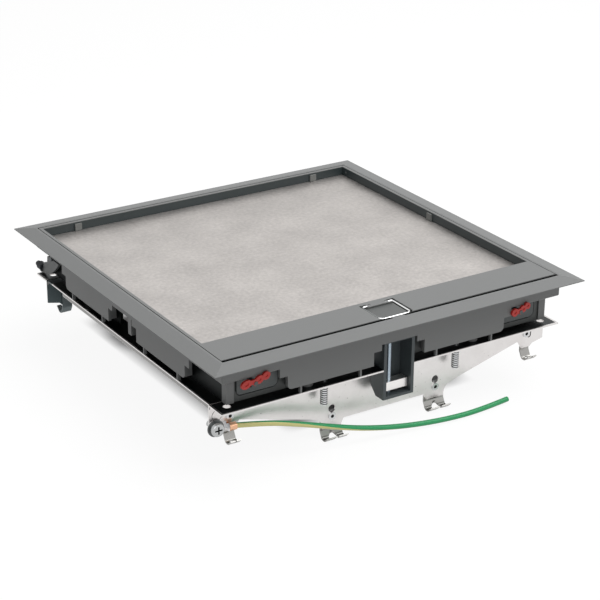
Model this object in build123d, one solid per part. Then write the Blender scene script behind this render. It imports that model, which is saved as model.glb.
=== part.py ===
from build123d import *
from math import pi, radians, tan
import os

# A square floor socket box: a plastic frame with a hinged lid, on a sheet-metal support.
# Millimetres. +X runs right along the front, +Y to the back, and the feet stand on z = 0.
# A name that ends in DEPTH, TOP or LOW is measured down from the top plane.

# Body
HEIGHT = 75.0  # feet to the top plane
BAND_HALF = 121.5  # half of the square body that drops into the floor

# Frame moulding
FLANGE_HALF = BAND_HALF + 10.5  # outer edge of the flange
FLANGE_FLAT = 1.6  # flat rim round the opening, before the slope
FLANGE_DROP = 1.9  # fall of the slope to its thin edge
FLANGE_EDGE = 0.5  # thickness of that edge
OPENING_HALF = BAND_HALF - 1.0  # opening that the lid fills
BAND_DEPTH = 13.6
CHANNEL_FLOOR = 1.4  # floor of the lid's channel
WALL = 2.0  # side panels and inner wall
PANEL_DEPTH = 27.5
PANEL_FROM = 18.3  # each side has two panels, from here
PANEL_TO = BAND_HALF - 43.3  # to here, measured from the middle
PANEL_CORNER = 3.0
NOTCH_HALF = 12.8  # upper part of the middle opening
NOTCH_DEPTH = 14.9
STEP_DEPTH = 18.8  # lower edge of the steps beside the openings
CORNER_STEP = BAND_HALF - 38.0  # where the corner window begins
INNER_HALF = BAND_HALF - 7.1  # outside of the recessed wall in the corner windows
INNER_DEPTH = 30.0
INNER_GAP = 16.0  # half of the gap in the recessed wall at each middle opening
WEB_PLACES = (21.0, PANEL_TO - 3.4)
POST = 5.0  # corner posts
POST_HALF = BAND_HALF - 6.1
PEG_PLACES = (27.5, PANEL_TO - 9.2)
PEG_SIZE = 1.2
RIB_PLACE = 9.5  # upright rib in the empty middle openings
RIB_SIZE = 4.0
RIB_DEPTH = 26.0
BOSS_R = 3.6
BOSS_PLACE = PANEL_TO - 18.2
BOSS_LINE = INNER_HALF - WALL / 2  # screw bosses stand on the recessed wall
KEEPER_HALF = 4.5  # small tab over the latch bolt
KEEPER_TOP = 0.2
KEEPER_LOW = 2.4

# Lid
LID_SIDE = OPENING_HALF - 0.5
LID_FRONT = OPENING_HALF - 1.5
LID_BACK = OPENING_HALF - 0.9
LID_THICK = 8.6
LID_CORNER = 0.6
RIM = 2.0
RECESS = 6.0  # from the top plane to the steel sheet
SHEET = 1.0
SHEET_GAP = 0.2
BAR = 26.5  # width of the front bar
BAR_FROM = LID_FRONT - BAR
LUG_HALF = 2.4
LUG_THICK = 1.2
LUG_TOP = 1.2
BACK_LUGS = (27.4 - LID_SIDE, LID_SIDE - 27.7)
SIDE_LUG = 11.0
SEAL = 1.0
SEAL_WIDTH = 2.0
SEAL_HALF = OPENING_HALF - 2.6  # middle of the sealing strip
HINGE_Y = LID_BACK - 6.6
HINGE_DEPTH = 3.0
HINGE_PIN_R = 1.0
HINGE_BITE = 0.9  # length of the pin in the frame's wall
LEDGE_END = HINGE_Y - 10.0  # the side ledges stop in front of the hinge

# Bail handle and latch
BAIL_HALF = 11.0
BAIL_PIVOT = LID_FRONT - 22.0
BAIL_FRONT = LID_FRONT - 2.0
BAIL_WIRE = 1.3
BAIL_BEND = 3.0
STUB_BEND = 1.2
BAIL_DEPTH = 0.9  # wire centre below the top plane
BAIL_STUB = 5.5  # inner end of each stub
BAIL_GROOVE = 2.6  # width of the groove round the wire
GROOVE_DEPTH = 1.9
PAD_DEPTH = 1.1
BOLT_WIDTH = 7.0
BOLT_THICK = 2.8
BOLT_TOP = 3.0
BOLT_SLOPE = 1.4
BOLT_NOSE = OPENING_HALF + 0.7
BOLT_TAIL = LID_FRONT - 11.0
SPRING_END = BOLT_TAIL - 9.0
SPRING_R = 1.0
SPRING_WIRE = 0.4
SPRING_TURNS = 6
NOTCH_LID = 5.5  # half of the notch in the lid's front edge

# Support
PLATE_DEPTH = 32.0  # top of the support
STEEL = 1.0
SUPPORT_HALF = BAND_HALF
SKIRT_Y = SUPPORT_HALF - 14.3  # outer face of the skirts
SKIRT_END = SUPPORT_HALF + 0.5
SKIRT_LOW = HEIGHT - 10.7  # lower edge in the middle
LEG_LOW = HEIGHT - 6.5  # legs that carry the inner clips
LEG_HALF = 6.5
LEG_BEND = 5.0
FLARE = 15.5  # the skirt rises from each leg to this far outside it
FLARE_LOW = SKIRT_LOW - 4.9
FLARE_FOOT = SKIRT_LOW - 1.7
SHOULDER_LOW = 46.2
OUTER_LEG_LOW = 51.5
OUTER_LEG_HALF = 3.3
END_LOW = 47.9
RAIL_IN = SUPPORT_HALF - 14.0
RAIL_TAB = 6.0
RAIL_LIP = 3.0
LIP_BACK = SUPPORT_HALF - 37.5
CORNER_HOLE_X = SUPPORT_HALF - 7.5
CORNER_HOLE_Y = SUPPORT_HALF - 8.0
CORNER_HOLE_R = 2.3
PLAIN_HOLE_DEPTH = HEIGHT - 19.0
PLAIN_HOLE_R = 2.5
SCREW_R = 2.0
SCREW_HEAD_R = 3.5
SCREW_HEAD = 1.8
SCREW_LENGTH = 10.0  # of each support screw in its boss
LEVEL_X = BOSS_PLACE - 12.0
LEVEL_Y = SUPPORT_HALF - 8.1
LEVEL_END = 48.0
LEVEL_PROUD = 0.4
LEVEL_SLOT = 0.8

# Hook clips and rivets
CLIP_INNER = 38.0
CLIP_OUTER = SUPPORT_HALF - 13.0
CLIP_STEEL = 0.8
INNER_WIDTH = 15.0
OUTER_WIDTH = 7.0
OUTER_FOOT = 58.5
CLIP_REACH = 8.2  # how far a hook comes forward
CLIP_BEND = 2.2
CLIP_HOLE_R = 3.0
CLIP_SPLIT = 1.6
RIVET_INNER = HEIGHT - 14.0
RIVET_OUTER = 42.0
RIVET_R = 1.6
RIVET_HEAD = 0.7
RIVET_HEAD_R = 2.5
RIVET_BORE_R = 1.1

# Corner locks
LOCK_WIDTH = 27.3
LOCK_TOP = 14.6
LOCK_LOW = 26.1
LOCK_THICK = 1.6
LOCK_POCKET = 1.0  # depth of its pocket in the recessed wall
LOCK_GROOVE = 0.9  # gap round it in the pocket
LOCK_CORNER = 3.2
LOCK_SLOT_HALF = 1.1
LOCK_SLOT_TOP = 19.3
LOCK_SLOT_LOW = 23.2
LEVER_THICK = 1.5
LEVER_DEPTH = 16.9  # pivot of each lever
LEVER_EYE = 1.6
LEVER_LINK = 1.3  # half width of the links between the lobes
LEVER_PIN_R = 0.8
LEVER_SLEEVE_R = 1.3
LEVER_LOBES = [(-0.32, 0.5, 3.6, 2.5, 20), (0.13, 1.7, 3.0, 2.3, 30), (0.37, 3.1, 2.7, 2.3, 35)]
# corner: (middle of its plate, pivot, length of the lever)
LOCKS = {
    "front_left": (26.8 - BAND_HALF, 21.0 - BAND_HALF, 19.0),
    "front_right": (BAND_HALF - 28.8, BAND_HALF - 31.6, 13.8),
}

# Front clamp
HOUSING_HALF = 11.0
HOUSING_TOP = BAND_DEPTH + 0.3
HOUSING_LOW = 52.0
HOUSING_BACK = BAND_HALF - 14.0
HOUSING_SLOPE = 6.0
CHEEK = 2.1
BRIDGE = 1.4
SPINDLE_X = -3.3
SPINDLE_Y = BAND_HALF - 6.3
SPINDLE_R = 1.6
COLLAR = 1.4
GUIDE_FACE = BAND_HALF - 9.4  # thicker back wall behind the spindle
CLAMP_DEPTH = 42.4
CLAMP_FLANGE = 5.6
CLAMP_STEEL = 1.4
CLAMP_HALF = 8.4
CLAMP_FRONT = BAND_HALF - 2.9
CLAMP_BACK = BAND_HALF - 8.9
CLAMP_TAIL = 1.8

# Rear claws
CLAW_X = BAND_HALF - 3.5
CLAW_THICK = 2.0
CLAW_Y = BAND_HALF - 17.7
CLAW_DEPTH = 16.2
CLAW_PIN_R = 1.1
KNOB_R = 2.8
KNOB_TIP_R = 1.9
KNOB_FROM = CLAW_Y + 15.2
KNOB_STEP = CLAW_Y + 20.4
KNOB_TO = CLAW_Y + 24.4
KNOB_DEPTH = 27.8

# Earth terminal and wire
EARTH_X = 2.8 - SUPPORT_HALF
EARTH_DEPTH = 46.9
EARTH_HEAD_R = 5.2
EARTH_HEAD = 3.2
EARTH_TAB_R = 5.0
CROSS_HALF = 2.4
CROSS_WIDTH = 1.0
LUG_R = 4.6
LUG_STEEL = 1.0
NECK_HALF = 2.0
BARREL_R = 2.4
BARREL_FROM = EARTH_X + 7.5
BARREL_TO = EARTH_X + 12.2
WIRE_D = 4.0
WIRE_START = (BARREL_TO, -SKIRT_Y - 3.2, HEIGHT - EARTH_DEPTH - 0.5)
# along the skirt from the earth screw, forward of the skirt, share of the start's height above the floor
WIRE_ROUTE = [
    (30.7, 8.4, 0.961),
    (50.7, 12.4, 0.781),
    (70.7, 14.4, 0.539),
    (89.7, 16.2, 0.324),
    (109.7, 18.0, 0.164),
    (130.7, 20.0, 0.0625),
    (152.7, 21.6, 0.012),
    (175.7, 22.2, 0.008),
    (198.7, 19.4, 0.023),
]

# Clearances
RUNNING = 0.05  # pin in its hole
SLIDING = 0.3  # bolt in its channel, plate beside the cheeks
SEATED = 0.02  # screw in its hole


def below(depth):
    """Height of a point this far under the top plane."""
    return HEIGHT - depth


def block(x, y, z):
    """Box between pairs of limits along X, Y and Z."""
    middle = [(pair[0] + pair[1]) / 2 for pair in (x, y, z)]
    return Pos(*middle) * Box(abs(x[1] - x[0]), abs(y[1] - y[0]), abs(z[1] - z[0]))


def around(middle, half):
    """Pair of limits round a middle."""
    return (middle - half, middle + half)


def ring(outer, inner, z):
    """Square ring with the given half widths."""
    return block((-outer, outer), (-outer, outer), z) - block((-inner, inner), (-inner, inner), z)


def rod(start, end, radius):
    """Round bar between two points on a line along one axis."""
    start, end = Vector(*start), Vector(*end)
    plane = Plane(origin=start, z_dir=end - start)
    return extrude(plane * Circle(radius), (end - start).length)


def upright(x, y, low, high, radius):
    """Round bar along Z."""
    return rod((x, y, low), (x, y, high), radius)


def forward(x, depth, start, end, radius):
    """Round bar along Y, between two distances in front of the middle."""
    return rod((x, -start, below(depth)), (x, -end, below(depth)), radius)


def four_sides(shape):
    """The same shape on the front, right, back and left."""
    return [Rot(0, 0, 90 * side) * shape for side in range(4)]


def joined(pieces):
    """One solid from pieces that overlap."""
    result = pieces[0]
    for piece in pieces[1:]:
        result = result + piece
    return result


def front_plane(distance):
    """Plane that faces the front, with X to the right and Z up."""
    return Plane(origin=(0, -distance, 0), x_dir=(1, 0, 0), z_dir=(0, -1, 0))


def side_plane(x):
    """Plane across X, with Y to the right and Z up."""
    return Plane(origin=(x, 0, 0), x_dir=(0, 1, 0), z_dir=(1, 0, 0))


def outline(points):
    """Face inside a closed outline of straight edges."""
    return make_face(Polyline(*points, close=True))


def mirrored(half):
    """Closed outline from its right half."""
    return outline(half + [(-x, z) for x, z in reversed(half)])


def panel_wall():
    """Front wall under the band, with its stepped openings at the middle and the corners."""
    top = below(BAND_DEPTH - CHANNEL_FLOOR)
    face = mirrored([
        (NOTCH_HALF, below(NOTCH_DEPTH)),
        (NOTCH_HALF, below(STEP_DEPTH)),
        (PANEL_FROM, below(STEP_DEPTH)),
        (PANEL_FROM, below(PANEL_DEPTH)),
        (PANEL_TO, below(PANEL_DEPTH)),
        (PANEL_TO, below(STEP_DEPTH)),
        (CORNER_STEP, below(STEP_DEPTH)),
        (CORNER_STEP, top),
    ])
    low = [v for v in face.vertices() if abs(v.Y - below(PANEL_DEPTH)) < 0.01 and abs(v.X) > PANEL_FROM + 1]
    face = fillet(low, PANEL_CORNER)
    return extrude(front_plane(BAND_HALF - WALL) * face, WALL)


def frame_side():
    """What one side of the frame carries inside the panels."""
    inner_face = INNER_HALF - WALL
    low, top = below(INNER_DEPTH), below(BAND_DEPTH - CHANNEL_FLOOR / 2)
    pieces = [panel_wall()]
    for sign in (-1, 1):
        wall = sorted((sign * INNER_GAP, sign * INNER_HALF))
        pieces.append(block(wall, (-INNER_HALF, -inner_face), (low, top)))
        for place in WEB_PLACES:
            web_y = (-BAND_HALF + WALL / 2, -inner_face - WALL / 2)
            pieces.append(block(around(sign * place, WALL / 2), web_y, (below(PANEL_DEPTH), top)))
        for place in PEG_PLACES:
            peg_z = (below(PLATE_DEPTH), below(PANEL_DEPTH) + 1)
            pieces.append(block(around(sign * place, PEG_SIZE / 2), (-BAND_HALF, -BAND_HALF + WALL), peg_z))
        pieces.append(upright(sign * BOSS_PLACE, -BOSS_LINE, below(PLATE_DEPTH), top, BOSS_R))
    post = block((-POST_HALF, -POST_HALF + POST), (-POST_HALF, -POST_HALF + POST), (low, top))
    return joined(pieces + [post])


def frame_shell():
    """Flange, band and the channel that the lid lies in."""
    slope_low = below(FLANGE_DROP)
    inner_edge = OPENING_HALF + FLANGE_FLAT
    slope = loft([
        Plane.XY.offset(slope_low) * Rectangle(2 * FLANGE_HALF, 2 * FLANGE_HALF),
        Plane.XY.offset(HEIGHT) * Rectangle(2 * inner_edge, 2 * inner_edge),
    ])
    edge = block(around(0, FLANGE_HALF), around(0, FLANGE_HALF), (slope_low - FLANGE_EDGE, slope_low))
    band = block(around(0, BAND_HALF), around(0, BAND_HALF), (below(BAND_DEPTH), slope_low))
    corners = band.edges().filter_by(Axis.Z) + band.edges().group_by(Axis.Z)[0]
    band = fillet(corners, WALL / 2)
    channel_top = below(BAND_DEPTH - CHANNEL_FLOOR)
    opening = block(around(0, OPENING_HALF), around(0, OPENING_HALF), (channel_top, HEIGHT + 1))
    inner_face = INNER_HALF - WALL
    through = block(around(0, inner_face), around(0, inner_face), (0, HEIGHT + 1))
    return slope + edge + band - opening - through


def ledge():
    """Rib under the seal, open at the back."""
    z = (below(BAND_DEPTH - CHANNEL_FLOOR / 2), below(LID_THICK + SEAL))
    whole = ring(SEAL_HALF + SEAL_WIDTH / 2, SEAL_HALF - SEAL_WIDTH / 2, z)
    return whole - block(around(0, FLANGE_HALF), (LEDGE_END, FLANGE_HALF), (0, HEIGHT))


def lock_face(centre, more):
    """Rounded outline of a lock plate, or of its pocket."""
    width, height = LOCK_WIDTH + 2 * more, LOCK_LOW - LOCK_TOP + 2 * more
    return Pos(centre, below((LOCK_LOW + LOCK_TOP) / 2)) * RectangleRounded(width, height, LOCK_CORNER + more)


def frame_body():
    """The whole frame in one moulding."""
    body = frame_shell()
    for side in four_sides(frame_side()):
        body = body + side
    body = body + ledge()
    rib_z = (below(RIB_DEPTH), below(BAND_DEPTH - CHANNEL_FLOOR / 2))
    rib = block(around(RIB_PLACE, RIB_SIZE / 2), (-BAND_HALF + SLIDING, -INNER_HALF + WALL), rib_z)
    for side in four_sides(rib)[1:]:
        body = body + side
    keeper_y = (-OPENING_HALF - 0.2, -LID_FRONT)
    body = body + block(around(0, KEEPER_HALF), keeper_y, (below(KEEPER_LOW), below(KEEPER_TOP)))
    for centre, pivot, length in LOCKS.values():
        pocket_face = lock_face(centre, LOCK_GROOVE)
        pocket = extrude(front_plane(INNER_HALF - LOCK_POCKET) * pocket_face, LOCK_POCKET + 1)
        body = body - pocket - Rot(0, 0, 180) * pocket
    hinge_z = below(HINGE_DEPTH)
    for sign in (-1, 1):
        ends = [(sign * x, HINGE_Y, hinge_z) for x in (OPENING_HALF - 1, OPENING_HALF + HINGE_BITE)]
        body = body - rod(*ends, HINGE_PIN_R)
        ends = [(sign * x, CLAW_Y, below(CLAW_DEPTH)) for x in (BAND_HALF, INNER_HALF - WALL - 1)]
        body = body - rod(*ends, CLAW_PIN_R)
    slot_z = (below(BOLT_TOP + BOLT_THICK + SLIDING), below(BOLT_TOP - SLIDING))
    slot_y = (-BAND_HALF - 1, -OPENING_HALF + 1)
    body = body - block(around(0, BOLT_WIDTH / 2 + SLIDING), slot_y, slot_z)
    for x, y in screw_places():
        foot = below(PLATE_DEPTH)
        body = body - upright(x, y, foot - 1, foot + SCREW_LENGTH + 1, SCREW_R + SEATED)
    return body - upright(SPINDLE_X, -SPINDLE_Y, below(BAND_DEPTH) - 1, below(LID_THICK), SPINDLE_R)


def screw_places():
    """Centres of the screws that hold the support to the frame."""
    places = []
    for sign in (-1, 1):
        for end in (-1, 1):
            places.append((sign * BOSS_PLACE, end * BOSS_LINE))
            places.append((end * BOSS_LINE, sign * BOSS_PLACE))
    return places


def bail_cuts():
    """Groove round the bail, its deeper corners at the pivots and the finger pad inside it."""
    middle, length = -(BAIL_PIVOT + BAIL_FRONT) / 2, BAIL_FRONT - BAIL_PIVOT
    half, wide = BAIL_HALF, BAIL_GROOVE / 2
    groove_z = (below(GROOVE_DEPTH), HEIGHT + 1)
    outer_face = Pos(0, middle) * RectangleRounded(2 * (half + wide), length + 2 * wide, BAIL_BEND)
    inner_face = Pos(0, middle) * RectangleRounded(2 * (half - wide), length - 2 * wide, BAIL_BEND - 1)
    groove = extrude(Plane.XY.offset(groove_z[0]) * (outer_face - inner_face), GROOVE_DEPTH + 1)
    keep = BAIL_STUB + 2
    groove = groove - block(around(0, keep), (-BAIL_PIVOT - wide, -BAIL_PIVOT + wide + 1), groove_z)
    for sign in (-1, 1):
        notch_x = sorted((sign * keep, sign * (half + wide)))
        groove = groove + block(notch_x, (-BAIL_PIVOT - wide - 1, -BAIL_PIVOT + wide), groove_z)
    pad = extrude(Plane.XY.offset(below(PAD_DEPTH)) * inner_face, PAD_DEPTH + 1)
    pad = pad - block(around(0, half), (-BAIL_PIVOT - 2 * wide, -BAIL_PIVOT + 1), (0, HEIGHT + 2))
    hole_r = BAIL_WIRE / 2 + RUNNING
    stub_z, stub_x = below(BAIL_DEPTH), BAIL_STUB - SLIDING
    for sign in (-1, 1):
        x = sorted((sign * stub_x, sign * keep))
        pad = pad + block(x, around(-BAIL_PIVOT, hole_r), (stub_z, HEIGHT + 1))
        pad = pad + rod((sign * stub_x, -BAIL_PIVOT, stub_z), (sign * keep, -BAIL_PIVOT, stub_z), hole_r)
    return groove + pad


def lid_frame():
    """Lid moulding: a tray with a thin rim and a broad front bar."""
    lid = block((-LID_SIDE, LID_SIDE), (-LID_FRONT, LID_BACK), (below(LID_THICK), HEIGHT))
    lid = fillet(lid.edges().filter_by(Axis.Z), LID_CORNER)
    inner = LID_SIDE - RIM
    lid = lid - block((-inner, inner), (-BAR_FROM, LID_BACK - RIM), (below(RECESS + SHEET), HEIGHT + 1))
    lid = lid - bail_cuts()
    for sign in (-1, 1):
        ends = [(sign * x, HINGE_Y, below(HINGE_DEPTH)) for x in (LID_SIDE + 1, LID_SIDE - RIM - 1)]
        lid = lid - rod(*ends, HINGE_PIN_R + RUNNING)
    channel_z = (below(BOLT_TOP + BOLT_THICK + SLIDING), below(BOLT_TOP - SLIDING))
    lid = lid - block(around(0, BOLT_WIDTH / 2 + SLIDING), (-LID_FRONT - 1, -SPRING_END), channel_z)
    notch_y = (-LID_FRONT - 1, -BAIL_FRONT - BAIL_GROOVE / 2)
    return lid - block(around(0, NOTCH_LID), notch_y, (channel_z[0], HEIGHT + 1))


def lug_places():
    """Limits along X and Y of the lugs that hold the sheet."""
    back, side = LID_BACK - RIM, LID_SIDE - RIM
    places = [(around(x, LUG_HALF), (back - LUG_THICK, back)) for x in BACK_LUGS]
    for sign in (-1, 1):
        places.append((sorted((sign * (side - LUG_THICK), sign * side)), around(SIDE_LUG, LUG_HALF)))
    return places


def lid_sheet():
    """Galvanised sheet that fills the recess, notched round the lugs."""
    side = LID_SIDE - RIM - SHEET_GAP
    y = (SHEET_GAP - BAR_FROM, LID_BACK - RIM - SHEET_GAP)
    z = (below(RECESS + SHEET), below(RECESS))
    sheet = block((-side, side), y, z)
    for lug_x, lug_y in lug_places():
        x = (lug_x[0] - SLIDING, lug_x[1] + SLIDING)
        sheet = sheet - block(x, (lug_y[0] - SLIDING, lug_y[1] + SLIDING), (z[0] - 1, z[1] + 1))
    return sheet


def sheet_lugs():
    """Small lugs along the rim that keep the sheet in place."""
    return [block(x, y, (below(RECESS + SHEET), below(LUG_TOP))) for x, y in lug_places()]


def lid_seal():
    """Sealing strip on the ledge, open at the back where the lid swings down."""
    z = (below(LID_THICK + SEAL), below(LID_THICK))
    strip = ring(SEAL_HALF + SEAL_WIDTH / 2, SEAL_HALF - SEAL_WIDTH / 2, z)
    return strip - block(around(0, FLANGE_HALF), (LEDGE_END, FLANGE_HALF), (0, HEIGHT))


def hinge_pin(sign):
    """Stub pin pressed into the frame, on which the lid turns."""
    reach = (LID_SIDE - RIM + SHEET_GAP, OPENING_HALF + HINGE_BITE)
    ends = [(sign * x, HINGE_Y, below(HINGE_DEPTH)) for x in reach]
    return rod(*ends, HINGE_PIN_R)


def bail_handle():
    """Wire bail with its two stubs turned inwards."""
    half = [(BAIL_STUB, BAIL_PIVOT), (BAIL_HALF, BAIL_PIVOT), (BAIL_HALF, BAIL_FRONT)]
    points = [(-x, -y, below(BAIL_DEPTH)) for x, y in half]
    points += [(x, -y, below(BAIL_DEPTH)) for x, y in reversed(half)]
    path = FilletPolyline(*points, radius=[STUB_BEND, BAIL_BEND, BAIL_BEND, STUB_BEND])
    section = Plane(origin=points[0], z_dir=(-1, 0, 0)) * Circle(BAIL_WIRE / 2)
    return sweep(section, path)


def latch_bolt():
    """Sliding bolt with a sloped nose."""
    top, low = below(BOLT_TOP), below(BOLT_TOP + BOLT_THICK)
    profile = outline([
        (-BOLT_NOSE, low + BOLT_THICK / 2),
        (-BOLT_NOSE + BOLT_SLOPE, low),
        (-BOLT_TAIL, low),
        (-BOLT_TAIL, top),
        (-BOLT_NOSE, top),
    ])
    return extrude(side_plane(-BOLT_WIDTH / 2) * profile, BOLT_WIDTH)


def latch_spring():
    """Coil spring between the bolt and the end of its channel."""
    length = BOLT_TAIL - SPRING_END - SPRING_WIRE
    middle = below(BOLT_TOP + BOLT_THICK / 2)
    path = Helix(length / SPRING_TURNS, length, SPRING_R)
    section = Plane(origin=path @ 0, z_dir=path % 0) * Circle(SPRING_WIRE / 2)
    coil = sweep(section, path, is_frenet=True)
    return Pos(0, -BOLT_TAIL + SPRING_WIRE / 2, middle) * Rot(-90, 0, 0) * coil


def skirt_outline(left_tab):
    """Lower edge of a skirt, with the legs that carry the hook clips."""
    face = mirrored([
        (CLIP_INNER - LEG_HALF - 2, below(SKIRT_LOW)),
        (CLIP_INNER - LEG_HALF, below(LEG_LOW)),
        (CLIP_INNER + LEG_HALF, below(LEG_LOW)),
        (CLIP_INNER + LEG_HALF + 1, below(FLARE_FOOT)),
        (CLIP_INNER + FLARE, below(FLARE_LOW)),
        (CLIP_OUTER - OUTER_LEG_HALF - 3, below(SHOULDER_LOW)),
        (CLIP_OUTER - OUTER_LEG_HALF, below(OUTER_LEG_LOW)),
        (CLIP_OUTER + OUTER_LEG_HALF, below(OUTER_LEG_LOW)),
        (CLIP_OUTER + OUTER_LEG_HALF + 2, below((OUTER_LEG_LOW + END_LOW) / 2)),
        (SKIRT_END, below(END_LOW)),
        (SKIRT_END, HEIGHT),
    ])
    inside = [v for v in face.vertices() if abs(abs(v.X) - (CLIP_INNER + LEG_HALF + 1)) < 0.01]
    face = fillet(inside, LEG_BEND)
    if left_tab:
        face = face + Pos(EARTH_X, below(EARTH_DEPTH)) * Circle(EARTH_TAB_R)
    return face


def skirt_holes(left_tab):
    """Holes through a skirt as (x, depth, radius)."""
    holes = []
    for sign in (-1, 1):
        holes.append((sign * CLIP_INNER, PLAIN_HOLE_DEPTH, PLAIN_HOLE_R))
        holes.append((sign * CLIP_INNER, RIVET_INNER, RIVET_R + SEATED))
        holes.append((sign * CLIP_OUTER, RIVET_OUTER, RIVET_R + SEATED))
    if left_tab:
        holes.append((EARTH_X, EARTH_DEPTH, SCREW_R + SEATED))
    return holes


def flange_holes(levelling):
    """Holes through a support flange as (x, y, radius)."""
    holes = []
    for sign in (-1, 1):
        holes.append((sign * CORNER_HOLE_X, -CORNER_HOLE_Y, CORNER_HOLE_R))
        holes.append((sign * BOSS_PLACE, -BOSS_LINE, SCREW_R + SEATED))
        if levelling:
            holes.append((sign * LEVEL_X, -LEVEL_Y, SCREW_R + SEATED))
    return holes


def angle(front):
    """Support angle: a flange and a skirt bent from one sheet."""
    top = below(PLATE_DEPTH)
    inside = -SKIRT_Y + STEEL
    profile = outline([
        (-SUPPORT_HALF, top),
        (inside, top),
        (inside, 0),
        (-SKIRT_Y, 0),
        (-SKIRT_Y, top - STEEL),
        (-SUPPORT_HALF, top - STEEL),
    ])
    bend = [v for v in profile.vertices() if abs(v.X - inside) < 0.01 and abs(v.Y - top) < 0.01]
    profile = fillet(bend, STEEL * 0.9)
    sheet = extrude(side_plane(-SKIRT_END) * profile, 2 * SKIRT_END)
    sheet = sheet & extrude(front_plane(0) * skirt_outline(front), 2 * SUPPORT_HALF)
    for x, y, radius in flange_holes(front):
        sheet = sheet - upright(x, y, top - 3, top + 1, radius)
    for x, depth, radius in skirt_holes(front):
        sheet = sheet - forward(x, depth, SKIRT_Y - 3, SKIRT_Y + 2, radius)
    if front:
        cut = HOUSING_HALF + SEATED
        sheet = sheet - block((-cut, cut), (-SUPPORT_HALF - 1, -HOUSING_BACK), (top - 3, top + 1))
    return sheet


def side_rail(sign):
    """Strip between the angles, with a tab at each end and a lip along its outer edge."""
    top = below(PLATE_DEPTH)
    end = SKIRT_Y - STEEL
    x = sorted((sign * RAIL_IN, sign * SUPPORT_HALF))
    rail = block(x, (-end, end), (top - RAIL_TAB, top))
    rail = rail - block((x[0] - 1, x[1] + 1), (-end + STEEL, end - STEEL), (top - RAIL_TAB - 1, top - STEEL))
    lip_x = sorted((sign * SUPPORT_HALF, sign * (SUPPORT_HALF - STEEL)))
    rail = rail + block(lip_x, (-end, LIP_BACK), (top - RAIL_LIP, top))
    for place in (-BOSS_PLACE, BOSS_PLACE):
        rail = rail - upright(sign * BOSS_LINE, place, top - 3, top + 1, SCREW_R + SEATED)
    return rail


def screw_up(x, y, head_low, end, radius):
    """Screw that points up, with a domed head under the sheet."""
    head = Pos(x, y, head_low + SCREW_HEAD / 2) * Cylinder(SCREW_HEAD_R, SCREW_HEAD)
    head = fillet(head.edges().group_by(Axis.Z)[0], SCREW_HEAD * 0.5)
    return head + upright(x, y, head_low + SCREW_HEAD / 2, end, radius)


def support_screws():
    """Screws from below into the frame's bosses."""
    low = below(PLATE_DEPTH) - STEEL - SCREW_HEAD
    top = below(PLATE_DEPTH) + SCREW_LENGTH
    return [screw_up(x, y, low, top, SCREW_R) for x, y in screw_places()]


def levelling_screws():
    """Two headless slotted screws that hang through the front flange."""
    screws = []
    for x in (-LEVEL_X, LEVEL_X):
        top = below(PLATE_DEPTH) + LEVEL_PROUD
        slot = block(around(x, SCREW_R + 1), around(-LEVEL_Y, LEVEL_SLOT / 2), (top - LEVEL_SLOT, top + 1))
        screws.append(upright(x, -LEVEL_Y, below(LEVEL_END), top, SCREW_R) - slot)
    return screws


def hook_clip(x, rivet_depth, foot_z, width):
    """Spring strip behind the skirt that hooks forward under it, with two prongs."""
    back = -SKIRT_Y + STEEL
    middle = CLIP_STEEL / 2
    points = [
        (back + middle, below(rivet_depth) + RIVET_HEAD_R - 0.1),
        (back + middle, foot_z + CLIP_REACH * 0.6),
        (back - CLIP_REACH * 0.24, foot_z + middle),
        (back - CLIP_REACH * 0.6, foot_z + middle),
        (back - CLIP_REACH, foot_z + CLIP_REACH * 0.41),
    ]
    centre = FilletPolyline(*points, radius=[CLIP_BEND] * 3)
    strip = extrude(side_plane(x - width / 2) * trace(centre, CLIP_STEEL), width)
    hole_r = min(CLIP_HOLE_R, width * 0.2)
    hole_y = back - CLIP_REACH * 0.42
    strip = strip - upright(x, hole_y, foot_z - 1, foot_z + CLIP_REACH * 0.65, hole_r)
    split_x = around(x, CLIP_SPLIT * width / INNER_WIDTH / 2)
    split_y = (back - CLIP_REACH - 4, hole_y)
    strip = strip - block(split_x, split_y, (foot_z - 1, foot_z + CLIP_REACH))
    return strip - forward(x, rivet_depth, SKIRT_Y - 4, SKIRT_Y, RIVET_R + SEATED)


def rivet(x, depth):
    """Hollow rivet with a blind bore, through the skirt and its clip."""
    front, back = SKIRT_Y, SKIRT_Y - STEEL - CLIP_STEEL
    body = forward(x, depth, front, front + RIVET_HEAD, RIVET_HEAD_R)
    body = body + forward(x, depth, back - RIVET_HEAD, front + RIVET_HEAD, RIVET_R)
    body = body + forward(x, depth, back - RIVET_HEAD, back, RIVET_HEAD_R)
    return body - forward(x, depth, back, front + 2, RIVET_BORE_R)


def rivets():
    """The four rivets of one skirt."""
    places = [(CLIP_INNER, RIVET_INNER), (CLIP_OUTER, RIVET_OUTER)]
    return [rivet(sign * x, depth) for x, depth in places for sign in (-1, 1)]


def lock_plate(centre, pivot):
    """Rounded plate in a corner window, with a dark slot under its lever."""
    back = INNER_HALF - LOCK_POCKET
    plate = extrude(front_plane(back) * lock_face(centre, 0), LOCK_THICK)
    slot_z = (below(LOCK_SLOT_LOW), below(LOCK_SLOT_TOP))
    slot = block(around(pivot + 1, LOCK_SLOT_HALF), (-back - LOCK_THICK - 1, -back - 0.5), slot_z)
    return plate - slot - forward(pivot, LEVER_DEPTH, back - 1, back + LOCK_THICK + 1, LEVER_PIN_R)


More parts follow.
